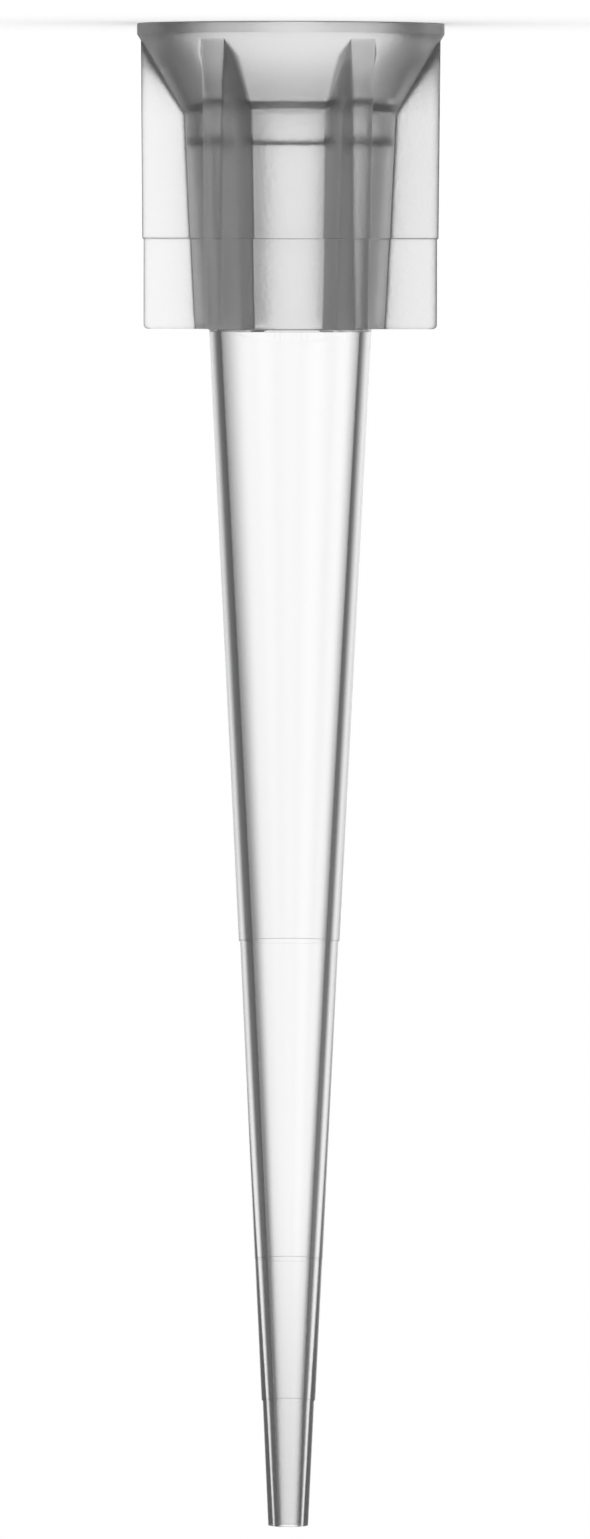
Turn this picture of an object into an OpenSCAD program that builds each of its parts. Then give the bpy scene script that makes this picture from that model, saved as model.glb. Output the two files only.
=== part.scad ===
// Micropipette tip, injection-moulded in natural polypropylene as one piece.
// It stands on its wide rim with the point up: z = 0 is the plane of the rim,
// and every height below is measured up from there.

/* [Head] */
// Outside diameter of the rim ring round the mouth
rim_d = 6.43; // [6.2:0.01:6.7]
// Height of the rim ring's straight band
rim_h = 0.23; // [0.2:0.01:0.4]
// Height at which the cup's cone meets the collar
cup_h = 1.88; // [1.8:0.01:2.0]
// Diameter of the collar where the cup's cone meets it
collar_top_d = 4.46; // [4.3:0.01:4.6]
// Diameter of the collar at the parting line
collar_parting_d = 4.22; // [4.1:0.01:4.3]
// Diameter of the collar at the shoulder, where it ends
collar_end_d = 3.98; // [3.8:0.01:4.1]
// Height of the mould's parting line across the head
parting_h = 4.48; // [4:0.01:5]
// Height of the shoulder, where the collar and the fins end
shoulder_h = 6.38; // [6.2:0.01:6.8]

/* [Fins] */
// Number of fins round the collar
fin_count = 6; // [4:1:8]
// Width of a fin's outer face, under the rim
fin_top_w = 0.55; // [0.45:0.005:0.6]
// Width of a fin's outer face, just above the parting line
fin_parting_w = 0.475; // [0.4:0.005:0.55]
// Width of a fin's outer face, just past the parting line
fin_lower_w = 0.435; // [0.35:0.005:0.5]
// Width of a fin's outer face, at the shoulder
fin_end_w = 0.39; // [0.3:0.005:0.45]
// Diameter over the fins, under the rim
fin_top_d = 6.27; // [6.2:0.01:6.3]
// Diameter over the fins, just above the parting line
fin_parting_d = 6.2; // [6.15:0.01:6.25]
// How far a fin's softened edge reaches across its outer face
fin_edge_w = 0.045; // [0.02:0.005:0.08]
// How far a fin's softened edge reaches down its flank
fin_edge_l = 0.15; // [0.05:0.01:0.2]
// Corner radius at a fin's lower end
fin_corner_r = 0.09; // [0.05:0.01:0.15]

/* [Tube] */
// Length of the tip from the rim to the cut end
tip_h = 31.5; // [31:0.1:33]
// Diameter of the tube just past the shoulder
tube_top_d = 3.41; // [3.3:0.01:3.6]
// Height of the first mould step
step_1_h = 19.2; // [19:0.01:20]
// Diameter just before the first mould step
step_1_d = 2.12; // [2.05:0.01:2.2]
// Height of the second mould step
step_2_h = 25.88; // [25:0.01:27]
// Diameter just before the second mould step
step_2_d = 1.43; // [1.35:0.01:1.5]
// Height of the third mould step
step_3_h = 28.86; // [28.5:0.01:29.5]
// Diameter just before the third mould step
step_3_d = 1.134; // [1.08:0.001:1.2]
// Diameter of the cut end
end_d = 0.844; // [0.8:0.001:0.9]

/* [Bore] */
// Diameter of the mouth at the rim
mouth_d = 4.76; // [4.4:0.01:5]
// Diameter at which the funnel ends
funnel_d = 4.04; // [3.9:0.01:4.1]
// Height at which the funnel ends
funnel_h = 1.45; // [1.4:0.01:1.55]
// Heights at which the ledge between funnel and seat starts and ends
ledge_h = [1.57, 1.73]; // [1.5:0.01:1.85]
// Diameter of the seat that seals on a pipette's nozzle
seat_d = 3.6; // [3.3:0.01:3.7]
// Height of the corner that the seat's rounded end cuts
seat_h = 2.42; // [2.3:0.01:2.5]
// Radius of the seat's rounded end
seat_r = 0.25; // [0.1:0.05:0.4]
// Diameter of the bore just past the seat
socket_d = 3.32; // [3:0.01:3.5]
// Height of the edge where the seat runs out into the bore
socket_h = 2.55; // [2.52:0.01:2.7]
// Diameter of the bore at the first mould step
step_1_bore_d = 1.54; // [1.4:0.01:1.65]
// Diameter of the bore at the second mould step
step_2_bore_d = 0.89; // [0.8:0.01:0.95]
// Diameter of the bore at the third mould step
step_3_bore_d = 0.62; // [0.5:0.01:0.7]
// Diameter of the hole at the cut end
hole_d = 0.42; // [0.4:0.01:0.5]

/* [Hidden] */
$fn = 96;
// Radial steps that the parting line leaves on the collar and on the fins
collar_step = 0.024;
fin_step = 0.031;
// Radial steps at the tube's first, second and third mould steps
step_1_in = 0.027;
step_2_in = 0.006;
step_3_in = 0.024;
// Chamfer that ends the rim's band, across and up
rim_chamfer = [0.07, 0.11];
// Rounding of the rim's outer edge
rim_edge_r = 0.03;
// Radius of the blend between the cup's cone and the collar
cup_blend_r = 0.2;
// How much a fin's half width grows for each millimetre towards the axis
fin_flare = 0.135;
fin_lower_flare = 0.115;
// Distance from the axis to a fin's root, inside the collar
root_r = 1.9;
// What a fin's leaning flanks overrun at both ends before they are trimmed
overrun = 0.2;

// Rounding of the collar's end and fillet at the foot of the tube
collar_end_r = 0.03;
tube_fillet_r = 0.05;

function unit(v) = v / norm(v);

// Points of an arc round a centre, from one angle to another
function arc(centre, r, from, to, steps) =
    [for (i = [0:steps]) let (a = from + (to - from) * i / steps) centre + r * [cos(a), sin(a)]];

// Points that round an outline's corner between the points before and after it
function rounded(before, corner, after, r, steps = 6) =
    let (u = unit(before - corner), v = unit(after - corner), half = acos(u * v) / 2,
         centre = corner + unit(u + v) * r / sin(half),
         p = corner + u * r / tan(half) - centre,
         q = corner + v * r / tan(half) - centre,
         from = atan2(p[1], p[0]),
         swing = atan2(p[0] * q[1] - p[1] * q[0], p * q))
    arc(centre, r, from, from + swing, steps);

// Points that soften an outline's corner, from one distance before it to another after it
function softened(before, corner, after, reach_before, reach_after, steps = 6) =
    let (p = corner + unit(before - corner) * reach_before,
         q = corner + unit(after - corner) * reach_after)
    [for (i = [0:steps]) let (s = i / steps)
        (1 - s) * (1 - s) * p + 2 * s * (1 - s) * corner + s * s * q];

module outer_form() {
    rim_r = rim_d / 2;
    cup_from = [rim_r - rim_chamfer[0], rim_h + rim_chamfer[1]];
    collar_parting = [collar_parting_d / 2, parting_h];
    collar_from = collar_parting - [collar_step, 0];
    collar_end = [collar_end_d / 2, shoulder_h];
    tube_foot = [tube_top_d / 2, shoulder_h];
    step_1 = [step_1_d / 2, step_1_h];
    rotate_extrude()
        polygon(concat(
            [[0, 0]],
            rounded([0, 0], [rim_r, 0], [rim_r, rim_h], rim_edge_r, 4),
            [[rim_r, rim_h], cup_from],
            rounded(cup_from, [collar_top_d / 2, cup_h], collar_parting, cup_blend_r),
            [collar_parting, collar_from],
            rounded(collar_from, collar_end, tube_foot, collar_end_r, 4),
            rounded(collar_end, tube_foot, step_1, tube_fillet_r, 5),
            [step_1,
             step_1 - [step_1_in, 0],
             [step_2_d / 2, step_2_h],
             [step_2_d / 2 - step_2_in, step_2_h],
             [step_3_d / 2, step_3_h],
             [step_3_d / 2 - step_3_in, step_3_h],
             [end_d / 2, tip_h],
             [0, tip_h]]));
}

// Half of a fin in plan, from a quarter of its width past the middle to its flank
function flank_plan(w, over, flare) =
    [[root_r, -w / 4], [over, -w / 4],
     each softened([over, 0], [over, w / 2], [root_r, w / 2 + flare * (over - root_r)],
                   fin_edge_w, fin_edge_l),
     [root_r, w / 2 + flare * (over - root_r)]];

// One length of a fin: two flanks that lean in and draw back with the mould's draft
module fin_length(widths, reaches, flare, heights) {
    tall = heights[1] - heights[0];
    lean = atan((widths[0] - widths[1]) / 2 / tall);
    draw = atan((reaches[0] - reaches[1]) / tall);
    for (side = [0, 1])
        mirror([0, side, 0])
            translate([0, 0, heights[0]])
                rotate([lean, -draw, 0])
                    translate([0, 0, -overrun])
                        linear_extrude(tall + 2 * overrun)
                            polygon(flank_plan(widths[0], reaches[0], flare));
}

// What trims a length of fin: flat ends, and a rounded corner at its far end
module fin_trim(over, heights, corner_r) {
    rotate_extrude()
        polygon(concat(
            [[0, heights[0]], [over, heights[0]]],
            rounded([over, heights[0]], [over, heights[1]], [0, heights[1]], corner_r, 4),
            [[0, heights[1]]]));
}

module fin() {
    upper = [rim_h, parting_h];
    lower = [parting_h, shoulder_h];
    lower_r = fin_parting_d / 2 - fin_step;
    // Clearance that keeps the trims off the fins' flat outer faces
    clear = 0.006;
    intersection() {
        fin_length([fin_top_w, fin_parting_w], [fin_top_d, fin_parting_d] / 2, fin_flare, upper);
        fin_trim(rim_d / 2, upper, rim_edge_r);
    }
    intersection() {
        fin_length([fin_lower_w, fin_end_w], [lower_r, lower_r], fin_lower_flare, lower);
        fin_trim(lower_r + clear, lower, fin_corner_r + clear);
    }
}

module bore_form() {
    mouth = [mouth_d / 2, 0];
    funnel_end = [funnel_d / 2, funnel_h];
    seat_start = [seat_d / 2, ledge_h[1]];
    seat_corner = [seat_d / 2, seat_h];
    socket = [socket_d / 2, socket_h];
    rotate_extrude()
        polygon(concat(
            [[0, -1], [mouth_d / 2, -1], mouth, funnel_end, [funnel_d / 2, ledge_h[0]], seat_start],
            rounded(seat_start, seat_corner, socket, seat_r),
            [socket,
             [step_1_bore_d / 2, step_1_h],
             [step_2_bore_d / 2, step_2_h],
             [step_3_bore_d / 2, step_3_h],
             [hole_d / 2, tip_h],
             [hole_d / 2, tip_h + 1],
             [0, tip_h + 1]]));
}

module tip_body() {
    color([0.9, 0.91, 0.9])
        difference() {
            union() {
                outer_form();
                for (i = [0:fin_count - 1])
                    rotate([0, 0, i * 360 / fin_count])
                        fin();
            }
            bore_form();
        }
}

tip_body();
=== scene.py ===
"""Looks of a micropipette tip, moulded in one piece of natural polypropylene.

The tip stands on its rim in a bright-field studio, and the camera is turned over, so that the point
hangs down. Fields hold sizes in millimetres and angles in degrees.
"""

import logging
import math
from dataclasses import dataclass
from enum import Enum

import bmesh
import bpy
from mathutils import Matrix, Vector


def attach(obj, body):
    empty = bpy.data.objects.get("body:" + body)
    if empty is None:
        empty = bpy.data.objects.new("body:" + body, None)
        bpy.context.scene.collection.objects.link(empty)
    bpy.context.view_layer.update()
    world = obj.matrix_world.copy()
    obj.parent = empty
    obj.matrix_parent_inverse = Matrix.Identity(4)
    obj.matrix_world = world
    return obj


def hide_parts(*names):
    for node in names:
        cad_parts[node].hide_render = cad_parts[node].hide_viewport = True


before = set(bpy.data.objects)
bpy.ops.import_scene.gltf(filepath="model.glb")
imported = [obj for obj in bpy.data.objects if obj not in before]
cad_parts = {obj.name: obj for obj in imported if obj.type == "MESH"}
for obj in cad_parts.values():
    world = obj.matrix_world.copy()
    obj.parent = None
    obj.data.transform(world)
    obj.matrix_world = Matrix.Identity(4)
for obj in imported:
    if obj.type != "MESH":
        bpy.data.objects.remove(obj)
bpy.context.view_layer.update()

LOG = logging.getLogger("pipette_tip")
MM = 0.001
WHITE = "ffffff"
CLEAR_BOUNCES = 32
GLOSSY_BOUNCES = 24
SHARP_ANGLE = 32.0
MERGE_DISTANCE = 1e-5

Pair = tuple[float, float]


def linear(colour: str) -> tuple[float, float, float, float]:
    """Turns an sRGB hex colour to the linear colour that shaders take.

    Args:
        colour: six hex digits, such as "e8e8e6".

    Returns:
        Linear red, green, blue and an alpha of 1.
    """
    channels = [int(colour[i : i + 2], 16) / 255 for i in (0, 2, 4)]
    return (*((c / 12.92 if c <= 0.04045 else ((c + 0.055) / 1.055) ** 2.4) for c in channels), 1.0)


def add_node(
    tree: bpy.types.NodeTree, kind: str, settings: dict | None = None, **links: object
) -> bpy.types.Node:
    """Adds a shader node with its settings, and fills its inputs.

    Args:
        tree: the node tree that the node goes into.
        kind: the node's type name.
        settings: properties of the node itself, by name.
        links: an input's name, with underscores for its spaces, or in_N for input N; the value is
            either a socket to link from or a constant.

    Returns:
        The new node.
    """
    node = tree.nodes.new(kind)
    for name, value in (settings or {}).items():
        setattr(node, name, value)
    for name, value in links.items():
        is_number = name.startswith("in_")
        socket = node.inputs[int(name[3:])] if is_number else node.inputs[name.replace("_", " ")]
        if isinstance(value, bpy.types.NodeSocket):
            tree.links.new(value, socket)
        else:
            socket.default_value = value
    return node


def add_clear_ray(tree: bpy.types.NodeTree) -> bpy.types.NodeSocket:
    """Adds nodes that tell rays through plastic, or mirrored by it, from all others.

    Args:
        tree: the node tree that they go into.

    Returns:
        The socket that is 1 for those rays and 0 for the others.
    """
    path = add_node(tree, "ShaderNodeLightPath").outputs
    clear = add_node(
        tree,
        "ShaderNodeMath",
        {"operation": "MAXIMUM"},
        in_0=path["Is Glossy Ray"],
        in_1=path["Is Transmission Ray"],
    )
    return clear.outputs[0]


def empty_tree(owner: bpy.types.Material | bpy.types.World) -> bpy.types.NodeTree:
    """Turns on the nodes of a material or a world, and clears them.

    Args:
        owner: the material or the world.

    Returns:
        Its node tree, with no node in it.
    """
    owner.use_nodes = True
    owner.node_tree.nodes.clear()
    return owner.node_tree


def polar(angle: float, radius: float) -> Vector:
    """The point in plan at an angle, in radians, and a radius."""
    return Vector((math.cos(angle), math.sin(angle))) * radius


def slide(start: Vector, way: Vector, radius: float) -> Vector:
    """The first point from a start along a unit way that lies at a radius from the axis."""
    along = start.dot(way)
    return start + way * (-along - math.sqrt(along**2 - start.length_squared + radius**2))


def mirror(point: Vector, angle: float) -> Vector:
    """The mirror image of a point in plan across the line at an angle through the axis."""
    turn = Matrix.Rotation(angle, 2)
    back = turn.transposed() @ point
    return turn @ Vector((back.x, -back.y))


def bend(start: Vector, corner: Vector, end: Vector, steps: int) -> list[Vector]:
    """Points of a soft bend in plan, which leaves and arrives along the sides of a corner.

    Args:
        start: where it starts, on the first side.
        corner: where the two sides would meet.
        end: where it ends, on the next side.
        steps: its number of parts.

    Returns:
        Its points, both ends included.
    """
    shares = (i / steps for i in range(steps + 1))
    return [start.lerp(corner, s).lerp(corner.lerp(end, s), s) for s in shares]


def stretch(start: Pair, end: Pair, steps: int) -> list[Pair]:
    """Heights and radii along a straight stretch, with a ring close to each end, to keep it flat.

    Args:
        start: height and radius at its start.
        end: height and radius at its end.
        steps: how many even parts it has between the two close rings.

    Returns:
        Pairs of height and radius, both ends included.
    """
    close, largest_share = 0.02, 0.2
    near = min(close / math.dist(start, end), largest_share)
    shares = [0.0, *(near + (1 - 2 * near) * i / steps for i in range(steps + 1)), 1.0]
    return [tuple(a + (b - a) * s for a, b in zip(start, end)) for s in shares]


def round_off(
    before: Pair, corner: Pair, after: Pair, radius: float, steps: int = 4
) -> list[Pair]:
    """Heights and radii round a corner of the profile, tangent to both of its sides.

    Args:
        before: a point on the side that comes first.
        corner: the corner where the two sides would meet.
        after: a point on the side that comes next.
        radius: the radius of the rounding.
        steps: its number of parts.

    Returns:
        Points of the arc, from the first side to the next.
    """
    origin = Vector(corner)
    one, two = (Vector(before) - origin).normalized(), (Vector(after) - origin).normalized()
    half_angle = one.angle(two) / 2
    middle = origin + (one + two).normalized() * radius / math.sin(half_angle)
    first = origin + one * radius / math.tan(half_angle) - middle
    last = origin + two * radius / math.tan(half_angle) - middle
    turn = first.angle(last)
    arc = [
        middle + (first * math.sin(turn * (1 - s)) + last * math.sin(turn * s)) / math.sin(turn)
        for s in (i / steps for i in range(steps + 1))
    ]
    return [tuple(p) for p in arc]


class Spokes(Enum):
    """How the points of a ring are spread round the axis."""

    FINNED = "gathered at the fins"
    EVEN = "evenly spread"


@dataclass(frozen=True)
class Ring:
    """One level section of the tip's skin.

    The reach is the radius over the fins, and 0 where there are none. The flare is how much a
    fin's half width grows for each millimetre inwards, and the root is the size of the fillet at
    its foot. Matt is 0 for a polished surface and 1 for the head's fine grain.
    """

    height: float
    radius: float
    reach: float = 0.0
    fin_width: float = 0.0
    flare: float = 0.0
    root: float = 0.0
    spokes: Spokes = Spokes.FINNED
    matt: float = 0.0


@dataclass(frozen=True)
class FinOutline:
    """The fins in plan: each is a radial wall that thickens inwards, with a turned outer face.

    A fin's corners are softened further down its flank than across its face, and a fillet joins the
    flank to the body. Both shrink where the fin is shallow: to corner_share and root_share of it.
    """

    count: int = 6
    corner_across: float = 0.045
    corner_inwards: float = 0.15
    corner_share: float = 0.3
    root_share: float = 0.8
    least_depth: float = 0.004
    face_steps: int = 3
    corner_steps: int = 6
    root_steps: int = 6
    body_steps: int = 7
    side_stops: tuple[float, ...] = (0.05, 0.35, 0.65, 0.95)

    def half(self, ring: Ring) -> list[Vector]:
        """Points from the middle of a fin's outer face to midway to the next fin.

        Args:
            ring: the section.

        Returns:
            The points in plan, in order.
        """
        depth = max(ring.reach - ring.radius, self.least_depth)
        over = ring.radius + depth
        inwards = Vector((-1.0, ring.flare)).normalized()
        edge = slide(Vector((over, ring.fin_width / 2)), inwards, over)
        foot = slide(edge, inwards, ring.radius)
        size = min(1.0, self.corner_share * depth / self.corner_inwards)
        face_turn = math.asin((edge.y - size * self.corner_across) / over)
        side_start = edge + inwards * size * self.corner_inwards
        side_length = (foot - side_start).length
        side_end = foot - inwards * min(ring.root, self.root_share * side_length)
        root_turn = math.atan2(*foot.yx) + ring.root / ring.radius
        body_turn = (math.pi / self.count - root_turn) / self.body_steps

        points = [polar(face_turn * i / self.face_steps, over) for i in range(self.face_steps)]
        points += bend(polar(face_turn, over), edge, side_start, self.corner_steps)
        points += [side_start.lerp(side_end, s) for s in self.side_stops]
        points += bend(side_end, foot, polar(root_turn, ring.radius), self.root_steps)
        steps = range(1, self.body_steps + 1)
        return points + [polar(root_turn + body_turn * i, ring.radius) for i in steps]

    def whole(self, ring: Ring) -> list[Vector]:
        """The outline all the way round, counter-clockwise from the middle of the first fin.

        Args:
            ring: the section.

        Returns:
            The points in plan, in order.
        """
        half = self.half(ring)
        pitch = half + [mirror(p, math.pi / self.count) for p in reversed(half[1:-1])]
        turns = [Matrix.Rotation(2 * math.pi * i / self.count, 2) for i in range(self.count)]
        return [turn @ p for turn in turns for p in pitch]


@dataclass(frozen=True)
class TubeEnd:
    """Where a length of the tube ends: its height and radius, and the step inwards there."""

    height: float
    radius: float
    step: float = 0.0


@dataclass
class TipBody:
    """The whole tip: its rim, cup, collar, fins, tube and bore, all one moulding.

    The relief is the rim's chamfer and the groove is the parting line's, each up and across. The
    fins' widths are next to the rim, just before and just past the parting line, and at the
    shoulder; their flares are before and past that line. A root stop is a height and the size of
    the fins' fillets there. A bore stop is a height and a radius, from the cut end back, and a
    corner of the socket is a height, a radius and a rounding.
    """

    name: str = "moulded_tip"
    rim_radius: float = 3.215
    rim_band: float = 0.23
    rim_edge: float = 0.03
    relief: Pair = (0.11, 0.07)
    cup_height: float = 1.88
    cup_blend: float = 0.2
    collar_top: float = 2.23
    collar_parting: float = 2.11
    collar_step: float = 0.024
    collar_end: float = 1.99
    collar_edge: float = 0.03
    parting: float = 4.48
    groove: Pair = (0.03, 0.012)
    shoulder: float = 6.38
    reach_top: float = 3.135
    reach_parting: float = 3.1
    reach_step: float = 0.031
    fin_widths: tuple[float, float, float, float] = (0.55, 0.475, 0.435, 0.39)
    fin_flares: Pair = (0.135, 0.115)
    fin_end_corner: float = 0.09
    foot_spread: float = 0.13
    foot_flare: float = 0.65
    root_stops: tuple[Pair, ...] = (
        (0.34, 0.09),
        (0.5, 0.11),
        (0.9, 0.11),
        (1.5, 0.07),
        (1.9, 0.045),
        (6.4, 0.04),
    )
    tube_top: float = 1.705
    tube_fillet: float = 0.05
    tube_ends: tuple[TubeEnd, ...] = (
        TubeEnd(19.2, 1.06, step=0.027),
        TubeEnd(25.88, 0.715, step=0.006),
        TubeEnd(28.86, 0.567, step=0.024),
        TubeEnd(31.5, 0.422),
    )
    tube_matt: tuple[float, float, float, float] = (0.0, 0.05, 0.2, 0.3)
    step_slope: float = 0.005
    bore_stops: tuple[Pair, ...] = (
        (31.5, 0.21),
        (28.86, 0.31),
        (25.88, 0.445),
        (19.2, 0.77),
        (2.6, 1.66),
    )
    socket: tuple[tuple[float, float, float], ...] = (
        (2.55, 1.66, 0.02),
        (2.42, 1.8, 0.25),
        (1.73, 1.8, 0.02),
        (1.57, 2.02, 0.02),
        (1.45, 2.02, 0.02),
    )
    socket_matt: float = 0.5
    mouth: float = 2.38
    fins: FinOutline = FinOutline()

    @property
    def cup_start(self) -> Pair:
        """Height and radius where the rim's relief ends, and the cup and the fins start."""
        return self.rim_band + self.relief[0], self.rim_radius - self.relief[1]

    def rim(self) -> list[Ring]:
        """The rim, without fins.

        Returns:
            Rings of its rounded lip, of its straight band and of the relief that ends it.
        """
        band_end = (self.rim_band, self.rim_radius)
        lip = round_off((0, 0), (0, self.rim_radius), band_end, self.rim_edge)
        band = stretch((self.rim_edge, self.rim_radius), band_end, steps=2)[1:]
        return [Ring(h, r, matt=1.0) for h, r in (*lip, *band, self.cup_start)]

    def head_to_parting(self) -> list[Ring]:
        """The cup and the collar with their fins, from the rim to the parting line.

        Returns:
            Their rings, and the ring at the bottom of the parting line's groove.
        """
        corner = (self.cup_height, self.collar_top)
        end = (self.parting, self.collar_parting)
        blend = round_off(self.cup_start, corner, end, self.cup_blend, steps=6)
        profile = stretch(self.cup_start, blend[0], steps=14)[1:-1] + blend
        profile += stretch(blend[-1], end, steps=6)[1:]
        width, depth = self.groove
        groove_reach = self.reach_parting - depth
        groove = self.finned(self.parting + width / 2, self.collar_parting - depth, groove_reach)
        return [self.finned(h, r) for h, r in profile] + [groove]

    def head_past_parting(self) -> list[Ring]:
        """The collar and its fins from the parting line to the shoulder, where both are rounded.

        Returns:
            Their rings.
        """
        reach = self.reach_parting - self.reach_step
        start = (self.parting + self.groove[0], self.collar_parting - self.collar_step)
        straight = stretch(start, (self.shoulder, self.collar_end), steps=6)
        turn_height = self.shoulder - self.fin_end_corner
        rings = [self.finned(h, r, reach) for h, r in straight if h < turn_height]
        corner = (self.shoulder, reach)
        for h, over in round_off((0, reach), corner, (self.shoulder, 0), self.fin_end_corner):
            past = min(max(h - self.shoulder + self.collar_edge, 0.0), self.collar_edge)
            inset = self.collar_edge - math.sqrt(self.collar_edge**2 - past**2)
            rings.append(self.finned(h, self.collar_end - inset, over))
        return rings

    def tube(self) -> list[Ring]:
        """The tube's outside, from the fillet at its foot to the edge of the cut end.

        Returns:
            Its rings.
        """
        first = self.tube_ends[0]
        edge, foot = (self.shoulder, self.collar_end), (self.shoulder, self.tube_top)
        points = round_off(edge, foot, (first.height, first.radius), self.tube_fillet, steps=5)
        rings = []
        for end, matt in zip(self.tube_ends, self.tube_matt):
            points += stretch(points[-1], (end.height, end.radius), steps=12)[1:]
            rings += [Ring(h, r, spokes=Spokes.EVEN, matt=matt) for h, r in points]
            points = [(end.height + self.step_slope, end.radius - end.step)]
        return rings

    def bore(self) -> list[Ring]:
        """The bore, from the cut end back to the mouth.

        Returns:
            Its rings.
        """
        rings = []
        sections = zip(self.bore_stops, self.bore_stops[1:], reversed(self.tube_matt))
        for start, end, matt in sections:
            points = stretch(start, end, steps=10)
            rings += [Ring(h, r, spokes=Spokes.EVEN, matt=matt) for h, r in points]
        corners = [self.bore_stops[-1], *self.socket, (0.0, self.mouth)]
        points = [corners[0]]
        for before, corner, after in zip(corners, corners[1:], corners[2:]):
            arc = round_off(before[:2], corner[:2], after[:2], radius=corner[2], steps=6)
            points += stretch(points[-1], arc[0], steps=2)[1:-1] + arc
        points += stretch(points[-1], corners[-1], steps=6)[1:]
        matt = self.socket_matt
        return rings + [Ring(h, r, spokes=Spokes.EVEN, matt=matt) for h, r in points[1:]]

    def finned(self, height: float, radius: float, reach: float | None = None) -> Ring:
        """A section through the fins, which thin out and draw in slightly away from the rim.

        Their feet spread in the cup, where the fins are shallow.

        Args:
            height: its height.
            radius: radius of the body between the fins.
            reach: radius over the fins; without it, what they have before the parting line.

        Returns:
            The section.
        """
        at_rim, before_parting, past_parting, at_shoulder = self.fin_widths
        rim_flare, shoulder_flare = self.fin_flares
        share = (height - self.rim_band) / (self.parting - self.rim_band)
        if reach is None:
            reach = self.reach_top + (self.reach_parting - self.reach_top) * share
        if height <= self.parting:
            depth = max(reach - radius, self.fins.least_depth)
            width = at_rim + (before_parting - at_rim) * share
            flare = max(rim_flare, min(self.foot_spread / depth, self.foot_flare))
        else:
            share_past = (height - self.parting) / (self.shoulder - self.parting)
            width = past_parting + (at_shoulder - past_parting) * share_past
            flare = shoulder_flare
        return Ring(height, radius, reach, width, flare, self.root_size(height), matt=1.0)

    def root_size(self, height: float) -> float:
        """Size of the fillet between a fin's flank and the body.

        Args:
            height: where on the head it is wanted.

        Returns:
            The size, between those of the stops before and after.
        """
        for (low, size), (high, next_size) in zip(self.root_stops, self.root_stops[1:]):
            if height < high:
                return size + (next_size - size) * max((height - low) / (high - low), 0.0)
        return self.root_stops[-1][1]

    def outline(self, ring: Ring) -> list[Vector]:
        """Points of a ring in plan, the same number for every ring.

        Args:
            ring: the section, with or without fins.

        Returns:
            The points, in order.
        """
        if ring.reach > ring.radius:
            return self.fins.whole(ring)
        pattern = self.fins.whole(self.finned(*self.cup_start))
        if ring.spokes is Spokes.FINNED:
            return [p.normalized() * ring.radius for p in pattern]
        return [polar(2 * math.pi * i / len(pattern), ring.radius) for i in range(len(pattern))]

    def build(self) -> bpy.types.Object:
        """Lofts the closed skin ring by ring.

        Returns:
            The tip, in the scene.
        """
        rings = self.rim() + self.head_to_parting() + self.head_past_parting()
        rings += self.tube() + self.bore()
        bm = bmesh.new()
        spoke = bm.verts.layers.int.new("spoke")
        matt = bm.verts.layers.float.new("matt")
        outline = self.outline(rings[0])
        made = bmesh.ops.create_circle(bm, cap_ends=False, segments=len(outline), radius=1.0)
        bm.verts.ensure_lookup_table()
        for index, vert in enumerate(made["verts"]):
            vert[spoke] = index
            vert[matt] = rings[0].matt
            vert.co = (*outline[index] * MM, rings[0].height * MM)
        lip_edges = list(bm.edges)
        edges = lip_edges
        for ring in rings[1:]:
            outline = self.outline(ring)
            grown = bmesh.ops.extrude_edge_only(bm, edges=edges)["geom"]
            verts = {g for g in grown if isinstance(g, bmesh.types.BMVert)}
            for vert in verts:
                vert.co = (*outline[vert[spoke]] * MM, ring.height * MM)
                vert[matt] = ring.matt
            grown_edges = [g for g in grown if isinstance(g, bmesh.types.BMEdge)]
            edges = [e for e in grown_edges if all(v in verts for v in e.verts)]
        bmesh.ops.bridge_loops(bm, edges=lip_edges + edges)
        bmesh.ops.remove_doubles(bm, verts=bm.verts, dist=MERGE_DISTANCE * MM)
        bmesh.ops.recalc_face_normals(bm, faces=bm.faces)
        mesh = bpy.data.meshes.new(self.name)
        bm.to_mesh(mesh)
        bm.free()
        mesh.polygons.foreach_set("use_smooth", [True] * len(mesh.polygons))
        mesh.set_sharp_from_angle(angle=math.radians(SHARP_ANGLE))
        tip = bpy.data.objects.new(self.name, mesh)
        bpy.context.scene.collection.objects.link(tip)
        return tip


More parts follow.
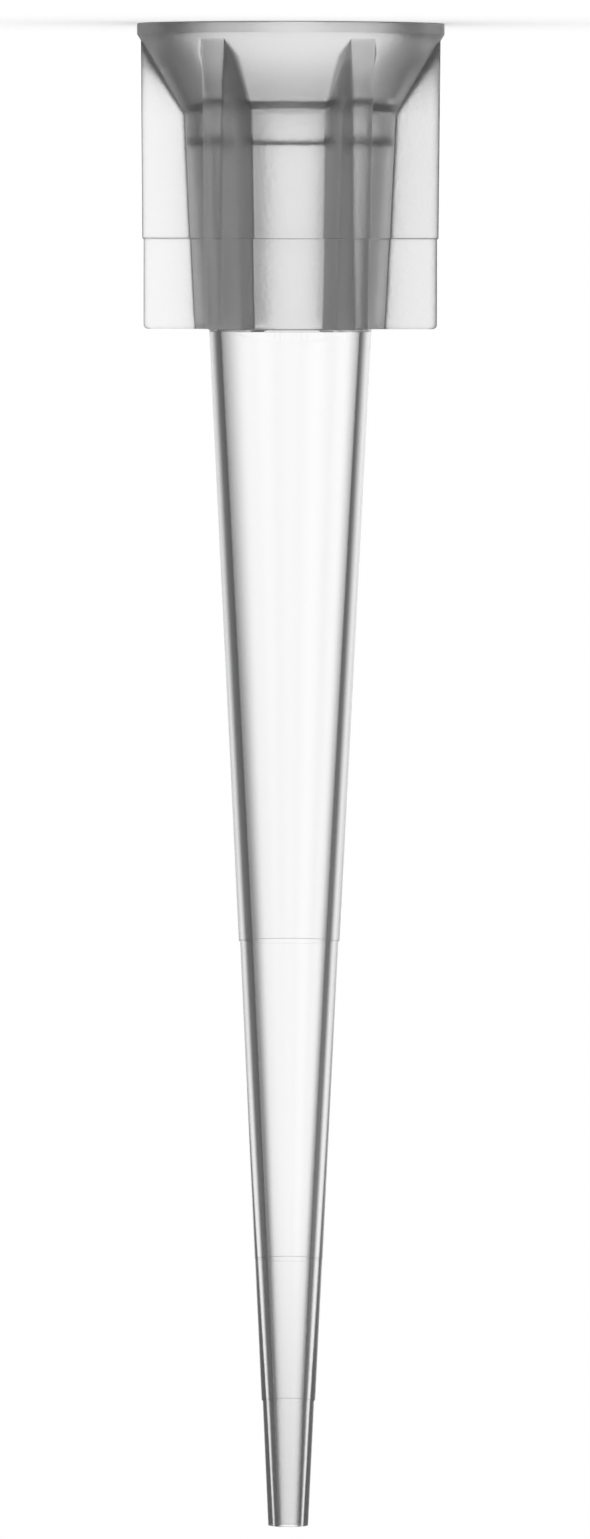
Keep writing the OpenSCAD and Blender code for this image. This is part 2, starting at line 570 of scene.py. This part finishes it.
@dataclass(frozen=True)
class NaturalPolypropylene:
    """Natural polypropylene, injection moulded: a clear plastic with a faint grey haze.

    A polished mould leaves the tube as smooth as glass, and a finely grained one leaves the head
    matt, so that it scatters what is seen through it. The tube's narrow end is a little duller. Its
    colour also darkens towards the point; that darkening is painted shade for the lesser light from
    behind there.
    Such a grain is too fine to show, so it is drawn coarser. The haze's density is per metre.
    """

    name: str = "natural_polypropylene"
    ior: float = 1.49
    tube_roughness: float = 0.03
    head_roughness: float = 0.38
    haze_density: float = 300.0
    haze_tint: str = "c8c8c8"
    # Painted shade: between these heights the colour darkens to this tint towards the point.
    shade_from: float = 24.0
    shade_to: float = 32.5
    painted_shade_tint: str = "eeeeee"
    grain_size: float = 0.1
    grain_height: float = 0.005

    def material(self) -> bpy.types.Material:
        """Builds the material.

        Returns:
            The material.
        """
        made = bpy.data.materials.new(self.name)
        tree = empty_tree(made)
        matt = add_node(tree, "ShaderNodeAttribute", {"attribute_name": "matt"}).outputs["Fac"]
        roughness = add_node(
            tree,
            "ShaderNodeMapRange",
            in_0=matt,
            in_3=self.tube_roughness,
            in_4=self.head_roughness,
        )
        place = add_node(tree, "ShaderNodeTexCoord").outputs["Object"]
        grain = add_node(
            tree,
            "ShaderNodeTexNoise",
            Vector=place,
            Scale=1 / (self.grain_size * MM),
            Detail=1.0,
        )
        bump = add_node(
            tree,
            "ShaderNodeBump",
            Strength=matt,
            Distance=self.grain_height * MM,
            Height=grain.outputs["Fac"],
        )
        height = add_node(tree, "ShaderNodeSeparateXYZ", in_0=place).outputs["Z"]
        # Painted shade: the colour darkens towards the point, for the lesser light from behind
        # there.
        shaded = add_node(
            tree,
            "ShaderNodeMapRange",
            {"interpolation_type": "SMOOTHSTEP"},
            in_0=height,
            in_1=self.shade_from * MM,
            in_2=self.shade_to * MM,
        )
        tint = add_node(
            tree,
            "ShaderNodeMix",
            {"data_type": "RGBA"},
            in_0=shaded.outputs[0],
            in_6=linear(WHITE),
            in_7=linear(self.painted_shade_tint),
        )
        shader = add_node(
            tree,
            "ShaderNodeBsdfPrincipled",
            Normal=bump.outputs[0],
            Base_Color=tint.outputs[2],
            Roughness=roughness.outputs[0],
            IOR=self.ior,
            Transmission_Weight=1.0,
        )
        haze = add_node(
            tree,
            "ShaderNodeVolumeAbsorption",
            Color=linear(self.haze_tint),
            Density=self.haze_density,
        )
        out = add_node(tree, "ShaderNodeOutputMaterial", Surface=shader.outputs[0])
        tree.links.new(haze.outputs[0], out.inputs["Volume"])
        return made


@dataclass(frozen=True)
class PaleTable:
    """Matt white paint on the table top, with a glow that makes it as white as the backdrop.

    Rays through plastic, or mirrored by it, pass through the table to the panels.
    """

    name: str = "pale_table"
    tint: str = "f7f7f7"
    own_glow: float = 0.15

    def material(self) -> bpy.types.Material:
        """Builds the material.

        Returns:
            The material.
        """
        made = bpy.data.materials.new(self.name)
        tree = empty_tree(made)
        matt = add_node(tree, "ShaderNodeBsdfDiffuse", Color=linear(self.tint))
        glow = add_node(tree, "ShaderNodeEmission", Color=linear(WHITE), Strength=self.own_glow)
        pale = add_node(tree, "ShaderNodeAddShader", in_0=matt.outputs[0], in_1=glow.outputs[0])
        gone = add_node(tree, "ShaderNodeBsdfTransparent")
        surface = add_node(
            tree,
            "ShaderNodeMixShader",
            in_0=add_clear_ray(tree),
            in_1=pale.outputs[0],
            in_2=gone.outputs[0],
        )
        add_node(tree, "ShaderNodeOutputMaterial", Surface=surface.outputs[0])
        return made


@dataclass
class Table:
    """The round table top that the tip stands on."""

    name: str = "table_top"
    radius: float = 1200.0
    sides: int = 96

    def build(self) -> bpy.types.Object:
        """Lays the table top level with the tip's rim.

        Returns:
            The table top, in the scene.
        """
        bm = bmesh.new()
        bmesh.ops.create_circle(bm, cap_ends=True, segments=self.sides, radius=self.radius * MM)
        mesh = bpy.data.meshes.new(self.name)
        bm.to_mesh(mesh)
        bm.free()
        table = bpy.data.objects.new(self.name, mesh)
        bpy.context.scene.collection.objects.link(table)
        return table


@dataclass(frozen=True)
class Panel:
    """A soft white light panel, far off: the way towards it, and half the width of its glow."""

    towards: tuple[float, float, float]
    half_width: float


@dataclass
class Studio:
    """A bright-field studio: white panels in grey surroundings, a white backdrop and the camera.

    A panel's core is half the width of its evenly lit middle.
    """

    backdrop: float = 1.0
    daylight: float = 0.95
    surround: float = 0.12
    panel_glow: float = 1.01
    panel_core: float = 6.0
    panels: tuple[Panel, ...] = (
        Panel((-0.065, 1.0, 0.04), 40.5),
        Panel((-1.0, 0.0, -0.05), 26.0),
        Panel((-0.641, 0.641, -0.423), 20.0),
        Panel((0.683, -0.683, -0.259), 36.0),
        Panel((0.0, 0.0, -1.0), 45.0),
        Panel((-0.641, -0.641, -0.423), 30.0),
        Panel((0.0, -1.0, -0.6), 40.0),
    )
    camera_distance: float = 262.0
    camera_height: float = 4.36
    aim: Pair = (-0.115, 15.61)
    view_height: float = 32.257
    roll: float = 180.1
    azimuth: float = -1.3
    sensor: float = 36.0
    clip: Pair = (10.0, 10000.0)

    def glow(
        self, tree: bpy.types.NodeTree, way: bpy.types.NodeSocket, panel: Panel
    ) -> bpy.types.NodeSocket:
        """Adds nodes for a panel's glow: full in its core, and faded out at its half width.

        Args:
            tree: the world's node tree.
            way: the way that a ray looks.
            panel: the panel.

        Returns:
            The socket of the glow's strength.
        """
        cosine = add_node(
            tree,
            "ShaderNodeVectorMath",
            {"operation": "DOT_PRODUCT"},
            in_0=way,
            in_1=Vector(panel.towards).normalized(),
        )
        angle = add_node(
            tree, "ShaderNodeMath", {"operation": "ARCCOSINE"}, in_0=cosine.outputs["Value"]
        )
        glow = add_node(
            tree,
            "ShaderNodeMapRange",
            {"interpolation_type": "SMOOTHSTEP"},
            in_0=angle.outputs[0],
            in_1=math.radians(panel.half_width),
            in_2=math.radians(self.panel_core),
            in_3=0.0,
            in_4=self.panel_glow,
        )
        return glow.outputs[0]

    def world(self) -> None:
        """Sets the world: white to the camera, panels to clear rays, soft daylight to the rest."""
        world = bpy.data.worlds.new("studio")
        bpy.context.scene.world = world
        world.cycles.sampling_method = "NONE"
        tree = empty_tree(world)
        way = add_node(tree, "ShaderNodeTexCoord").outputs["Generated"]
        glow = self.glow(tree, way, self.panels[0])
        for panel in self.panels[1:]:
            brightest = add_node(
                tree,
                "ShaderNodeMath",
                {"operation": "MAXIMUM"},
                in_0=glow,
                in_1=self.glow(tree, way, panel),
            )
            glow = brightest.outputs[0]
        seen = add_node(tree, "ShaderNodeMath", {"operation": "ADD"}, in_0=glow, in_1=self.surround)
        lit = add_node(
            tree,
            "ShaderNodeMix",
            in_0=add_clear_ray(tree),
            in_2=self.daylight,
            in_3=seen.outputs[0],
        )
        strength = add_node(
            tree,
            "ShaderNodeMix",
            in_0=add_node(tree, "ShaderNodeLightPath").outputs["Is Camera Ray"],
            in_2=lit.outputs[0],
            in_3=self.backdrop,
        )
        light = add_node(
            tree, "ShaderNodeBackground", Color=linear(WHITE), Strength=strength.outputs[0]
        )
        add_node(tree, "ShaderNodeOutputWorld", Surface=light.outputs[0])

    def camera(self) -> None:
        """Places the camera: level with the collar, far off, and turned over."""
        data = bpy.data.cameras.new("camera")
        eye = bpy.data.objects.new("camera", data)
        bpy.context.scene.collection.objects.link(eye)
        swing = Matrix.Rotation(math.radians(self.azimuth), 3, "Z")
        place = swing @ Vector((0.0, -self.camera_distance, self.camera_height)) * MM
        target = swing @ Vector((self.aim[0], 0.0, self.aim[1])) * MM
        away = target - place
        turn = away.to_track_quat("-Z", "Y").to_matrix().to_4x4()
        roll = Matrix.Rotation(math.radians(self.roll), 4, "Z")
        eye.matrix_world = Matrix.Translation(place) @ turn @ roll
        data.sensor_width = self.sensor
        data.lens = self.sensor * away.length / (self.view_height * MM)
        data.clip_start, data.clip_end = (distance * MM for distance in self.clip)
        bpy.context.scene.camera = eye


def main() -> None:
    """Builds the tip, dresses it and sets the studio."""
    logging.basicConfig(level=logging.INFO, format="%(name)s: %(message)s")
    scene = bpy.context.scene
    scene.view_settings.view_transform = "Standard"
    scene.cycles.max_bounces = CLEAR_BOUNCES
    scene.cycles.transmission_bounces = CLEAR_BOUNCES
    scene.cycles.glossy_bounces = GLOSSY_BOUNCES
    tip = TipBody().build()
    tip.data.materials.append(NaturalPolypropylene().material())
    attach(tip, "root")
    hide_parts("tip_body")
    LOG.info("%s: %d faces", tip.name, len(tip.data.polygons))
    studio = Studio()
    studio.world()
    table = Table().build()
    table.data.materials.append(PaleTable().material())
    studio.camera()


if __name__ == "__main__":
    main()
